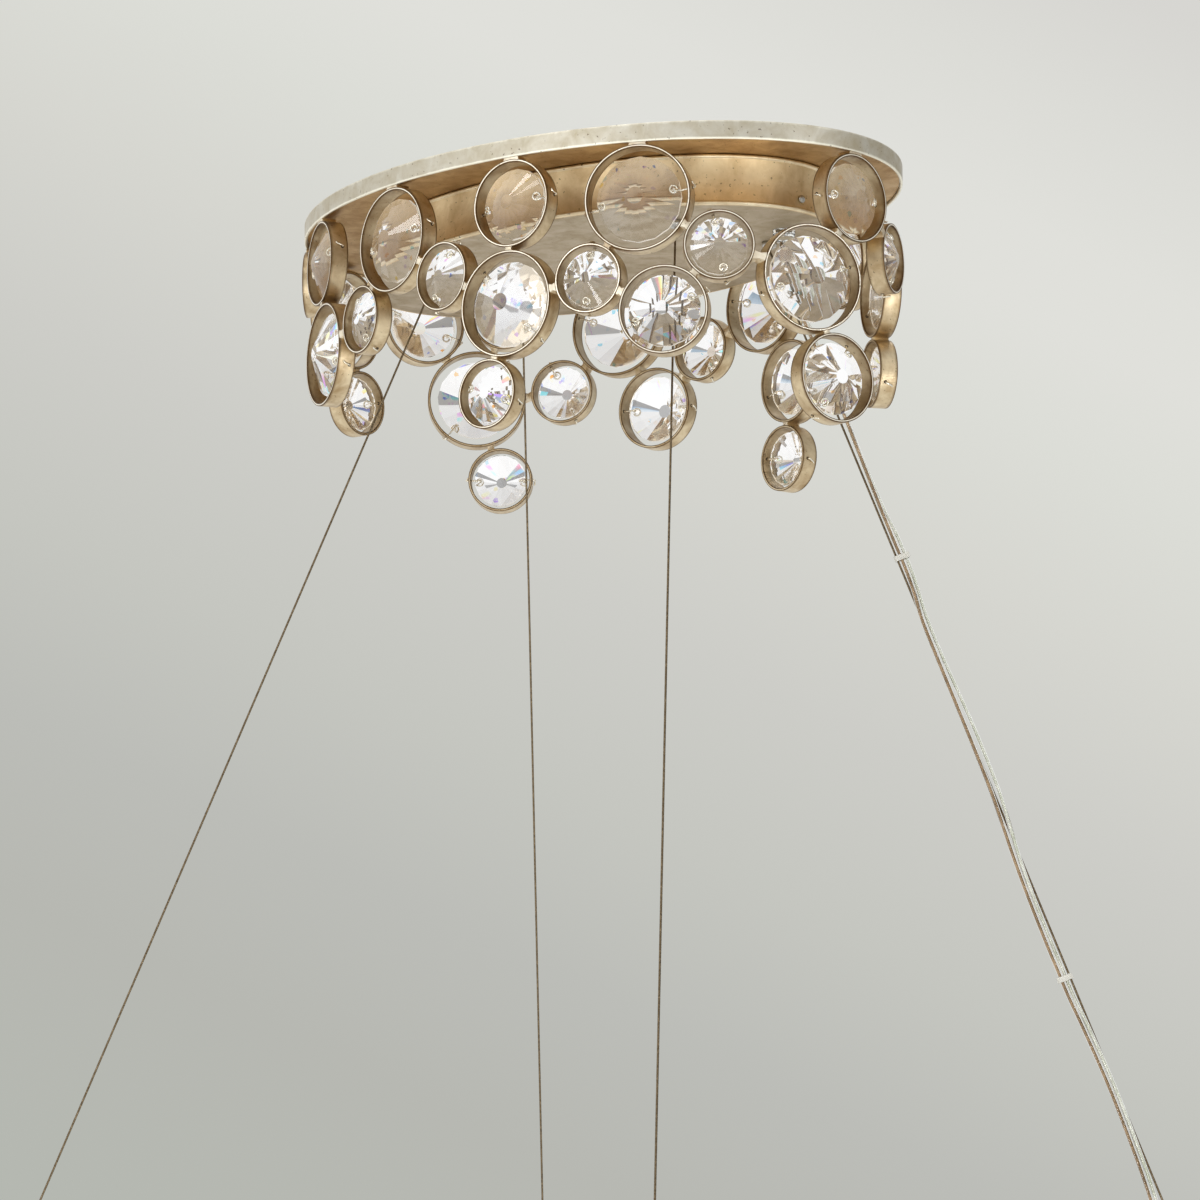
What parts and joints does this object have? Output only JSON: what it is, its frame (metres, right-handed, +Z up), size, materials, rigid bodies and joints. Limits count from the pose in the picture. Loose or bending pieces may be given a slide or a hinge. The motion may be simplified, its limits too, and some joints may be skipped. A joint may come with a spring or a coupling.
{
  "type": "chandelier",
  "caption": "Oval ceiling canopy with a curtain of welded strip rings that each hold a cut crystal, and splayed steel cables with a clear supply cord for the lamp body below.",
  "frame": {"origin": "centre of the ceiling face, on the bracket's flat top", "axes": "+X along the canopy's length, +Z up out of the ceiling face"},
  "size_m": [0.6667, 0.5099, 0.7588],
  "materials": {
    "champagne_metal": "champagne metal leaf, satin",
    "bronze_metal": "dull bronze underside",
    "steel": "plain drawn steel",
    "crystal": "cut and polished clear crystal",
    "clear_plastic": "clear flexible sheath over tinned and copper strands",
    "white_plastic": "moulded"
  },
  "bodies": {
    "canopy": {"bracket_screw_left": "steel", "bracket_screw_right": "steel", "cable_gripper_back_left": "steel", "cable_gripper_back_right": "steel", "cable_gripper_front_left": "steel", "cable_gripper_front_right": "steel", "canopy_plate": "bronze_metal", "canopy_rim": "champagne_metal", "ceiling_bracket": "steel", "clear_cords": "clear_plastic", "cord_clip_lower": "clear_plastic", "cord_clip_upper": "clear_plastic", "cord_gland": "clear_plastic", "pan_bottom": "bronze_metal", "pan_screw_left": "steel", "pan_screw_right": "steel", "pan_wall": "champagne_metal", "rings_back_left": "champagne_metal", "rings_back_middle": "champagne_metal", "rings_back_right": "champagne_metal", "rings_front": "champagne_metal", "rings_right_end": "champagne_metal", "steel_cable_back_left": "steel", "steel_cable_back_right": "steel", "steel_cable_front_left": "steel", "steel_cable_front_right": "steel", "terminal_block": "white_plastic"},
    "crystal_01": {"crystal_01": "crystal"},
    "crystal_02": {"crystal_02": "crystal"},
    "crystal_03": {"crystal_03": "crystal"},
    "crystal_04": {"crystal_04": "crystal"},
    "crystal_05": {"crystal_05": "crystal"},
    "crystal_06": {"crystal_06": "crystal"},
    "crystal_07": {"crystal_07": "crystal"},
    "crystal_08": {"crystal_08": "crystal"},
    "crystal_09": {"crystal_09": "crystal"},
    "crystal_10": {"crystal_10": "crystal"},
    "crystal_11": {"crystal_11": "crystal"},
    "crystal_12": {"crystal_12": "crystal"},
    "crystal_13": {"crystal_13": "crystal"},
    "crystal_14": {"crystal_14": "crystal"},
    "crystal_15": {"crystal_15": "crystal"},
    "crystal_16": {"crystal_16": "crystal"},
    "crystal_17": {"crystal_17": "crystal"},
    "crystal_18": {"crystal_18": "crystal"},
    "crystal_19": {"crystal_19": "crystal"},
    "crystal_20": {"crystal_20": "crystal"},
    "crystal_21": {"crystal_21": "crystal"},
    "crystal_22": {"crystal_22": "crystal"},
    "crystal_23": {"crystal_23": "crystal"},
    "crystal_24": {"crystal_24": "crystal"},
    "crystal_25": {"crystal_25": "crystal"},
    "crystal_26": {"crystal_26": "crystal"},
    "crystal_27": {"crystal_27": "crystal"},
    "crystal_28": {"crystal_28": "crystal"},
    "crystal_29": {"crystal_29": "crystal"},
    "crystal_30": {"crystal_30": "crystal"},
    "crystal_31": {"crystal_31": "crystal"},
    "crystal_32": {"crystal_32": "crystal"},
    "crystal_33": {"crystal_33": "crystal"}
  },
  "joints": [
    {"name": "crystal_01_rock", "type": "hinge", "parent": "canopy", "child": "crystal_01", "pos_m": [-0.13816, -0.1415, -0.0456], "axis": [0.9014, -0.3798, 0.2079], "range_deg": [-6, 6]},
    {"name": "crystal_02_rock", "type": "hinge", "parent": "canopy", "child": "crystal_02", "pos_m": [-0.02774, -0.1677, -0.0521], "axis": [0.9877, -0.0707, 0.1392], "range_deg": [-6, 6]},
    {"name": "crystal_03_rock", "type": "hinge", "parent": "canopy", "child": "crystal_03", "pos_m": [0.08776, -0.15791, -0.0456], "axis": [0.9671, 0.2321, 0.1045], "range_deg": [-6, 6]},
    {"name": "crystal_04_rock", "type": "hinge", "parent": "canopy", "child": "crystal_04", "pos_m": [0.1761, -0.12266, -0.0521], "axis": [0.8369, 0.5191, 0.1736], "range_deg": [-6, 6]},
    {"name": "crystal_05_rock", "type": "hinge", "parent": "canopy", "child": "crystal_05", "pos_m": [0.25604, 0.00405, -0.0456], "axis": [-0.0368, 0.9987, 0.0349], "range_deg": [-6, 6]},
    {"name": "crystal_06_rock", "type": "hinge", "parent": "canopy", "child": "crystal_06", "pos_m": [0.24265, 0.05246, -0.07776], "axis": [0, 0, 1], "range_deg": [-6, 6]},
    {"name": "crystal_07_rock", "type": "hinge", "parent": "canopy", "child": "crystal_07", "pos_m": [-0.06692, -0.16169, -0.10221], "axis": [-0.416, 0.0742, 0.9063], "range_deg": [-6, 6]},
    {"name": "crystal_08_rock", "type": "hinge", "parent": "canopy", "child": "crystal_08", "pos_m": [0.02614, -0.16667, -0.0879], "axis": [0.4217, 0.0285, 0.9063], "range_deg": [-6, 6]},
    {"name": "crystal_09_rock", "type": "hinge", "parent": "canopy", "child": "crystal_09", "pos_m": [0.08384, -0.15942, -0.11588], "axis": [-0.6524, -0.1485, 0.7431], "range_deg": [-6, 6]},
    {"name": "crystal_10_rock", "type": "hinge", "parent": "canopy", "child": "crystal_10", "pos_m": [0.14437, -0.13818, -0.10542], "axis": [0.0795, 0.0358, 0.9962], "range_deg": [-6, 6]},
    {"name": "crystal_11_rock", "type": "hinge", "parent": "canopy", "child": "crystal_11", "pos_m": [0.19049, -0.11227, -0.1307], "axis": [0.7485, 0.5472, 0.3746], "range_deg": [-6, 6]},
    {"name": "crystal_12_rock", "type": "hinge", "parent": "canopy", "child": "crystal_12", "pos_m": [0.2183, -0.08698, -0.08673], "axis": [-0.1181, -0.1273, 0.9848], "range_deg": [-6, 6]},
    {"name": "crystal_13_rock", "type": "hinge", "parent": "canopy", "child": "crystal_13", "pos_m": [0.25179, -0.03273, -0.10651], "axis": [0.2716, 0.8996, 0.342], "range_deg": [-6, 6]},
    {"name": "crystal_14_rock", "type": "hinge", "parent": "canopy", "child": "crystal_14", "pos_m": [-0.12852, -0.14598, -0.11521], "axis": [-0.8665, 0.3299, 0.3746], "range_deg": [-6, 6]},
    {"name": "crystal_15_rock", "type": "hinge", "parent": "canopy", "child": "crystal_15", "pos_m": [0.06821, -0.16145, -0.1773], "axis": [-0.9245, -0.1684, 0.342], "range_deg": [-6, 6]},
    {"name": "crystal_16_rock", "type": "hinge", "parent": "canopy", "child": "crystal_16", "pos_m": [0.25523, -0.01394, -0.17407], "axis": [0.0631, 0.496, 0.866], "range_deg": [-6, 6]},
    {"name": "crystal_17_rock", "type": "hinge", "parent": "canopy", "child": "crystal_17", "pos_m": [0.16573, 0.12809, -0.0784], "axis": [0.8206, -0.4578, 0.342], "range_deg": [-6, 6]},
    {"name": "crystal_18_rock", "type": "hinge", "parent": "canopy", "child": "crystal_18", "pos_m": [0.15959, 0.13077, -0.135], "axis": [-0.8024, 0.4214, 0.4226], "range_deg": [-6, 6]},
    {"name": "crystal_19_rock", "type": "hinge", "parent": "canopy", "child": "crystal_19", "pos_m": [-0.21754, -0.08779, -0.0391], "axis": [0.4843, -0.5152, 0.7071], "range_deg": [-6, 6]},
    {"name": "crystal_20_rock", "type": "hinge", "parent": "canopy", "child": "crystal_20", "pos_m": [-0.25278, -0.02928, -0.0521], "axis": [0.2128, -0.791, 0.5736], "range_deg": [-6, 6]},
    {"name": "crystal_21_rock", "type": "hinge", "parent": "canopy", "child": "crystal_21", "pos_m": [-0.24677, 0.04493, -0.0456], "axis": [-0.3668, -0.8652, 0.342], "range_deg": [-6, 6]},
    {"name": "crystal_22_rock", "type": "hinge", "parent": "canopy", "child": "crystal_22", "pos_m": [-0.22473, 0.08142, -0.10281], "axis": [0.396, 0.4714, 0.788], "range_deg": [-6, 6]},
    {"name": "crystal_23_rock", "type": "hinge", "parent": "canopy", "child": "crystal_23", "pos_m": [-0.17123, 0.12427, -0.0986], "axis": [-0.3635, -0.2155, 0.9063], "range_deg": [-6, 6]},
    {"name": "crystal_24_rock", "type": "hinge", "parent": "canopy", "child": "crystal_24", "pos_m": [-0.21088, 0.09452, -0.1656], "axis": [-0.7221, -0.6918, 0], "range_deg": [-6, 6]},
    {"name": "crystal_25_rock", "type": "hinge", "parent": "canopy", "child": "crystal_25", "pos_m": [-0.12972, 0.14552, -0.0521], "axis": [-0.8874, -0.3421, 0.309], "range_deg": [-6, 6]},
    {"name": "crystal_26_rock", "type": "hinge", "parent": "canopy", "child": "crystal_26", "pos_m": [-0.0552, 0.16359, -0.0778], "axis": [-0.3385, -0.0492, 0.9397], "range_deg": [-6, 6]},
    {"name": "crystal_27_rock", "type": "hinge", "parent": "canopy", "child": "crystal_27", "pos_m": [-0.09804, 0.15528, -0.11817], "axis": [-0.9642, -0.2628, 0.0349], "range_deg": [-6, 6]},
    {"name": "crystal_28_rock", "type": "hinge", "parent": "canopy", "child": "crystal_28", "pos_m": [0.00792, 0.16861, -0.0521], "axis": [-0.9779, 0.0199, 0.2079], "range_deg": [-6, 6]},
    {"name": "crystal_29_rock", "type": "hinge", "parent": "canopy", "child": "crystal_29", "pos_m": [0.03824, 0.16623, -0.1166], "axis": [0.9612, -0.0955, 0.2588], "range_deg": [-6, 6]},
    {"name": "crystal_30_rock", "type": "hinge", "parent": "canopy", "child": "crystal_30", "pos_m": [0.03161, 0.16626, -0.1738], "axis": [-0.987, 0.0809, 0.1392], "range_deg": [-6, 6]},
    {"name": "crystal_31_rock", "type": "hinge", "parent": "canopy", "child": "crystal_31", "pos_m": [0.11327, 0.15074, -0.0456], "axis": [-0.9476, 0.3074, 0.0872], "range_deg": [-6, 6]},
    {"name": "crystal_32_rock", "type": "hinge", "parent": "canopy", "child": "crystal_32", "pos_m": [-0.25447, -0.01533, -0.1142], "axis": [-0.1373, 0.9752, 0.1736], "range_deg": [-6, 6]},
    {"name": "crystal_33_rock", "type": "hinge", "parent": "canopy", "child": "crystal_33", "pos_m": [-0.20891, 0.09637, -0.0391], "axis": [-0.6878, -0.6403, 0.342], "range_deg": [-6, 6]}
  ]
}
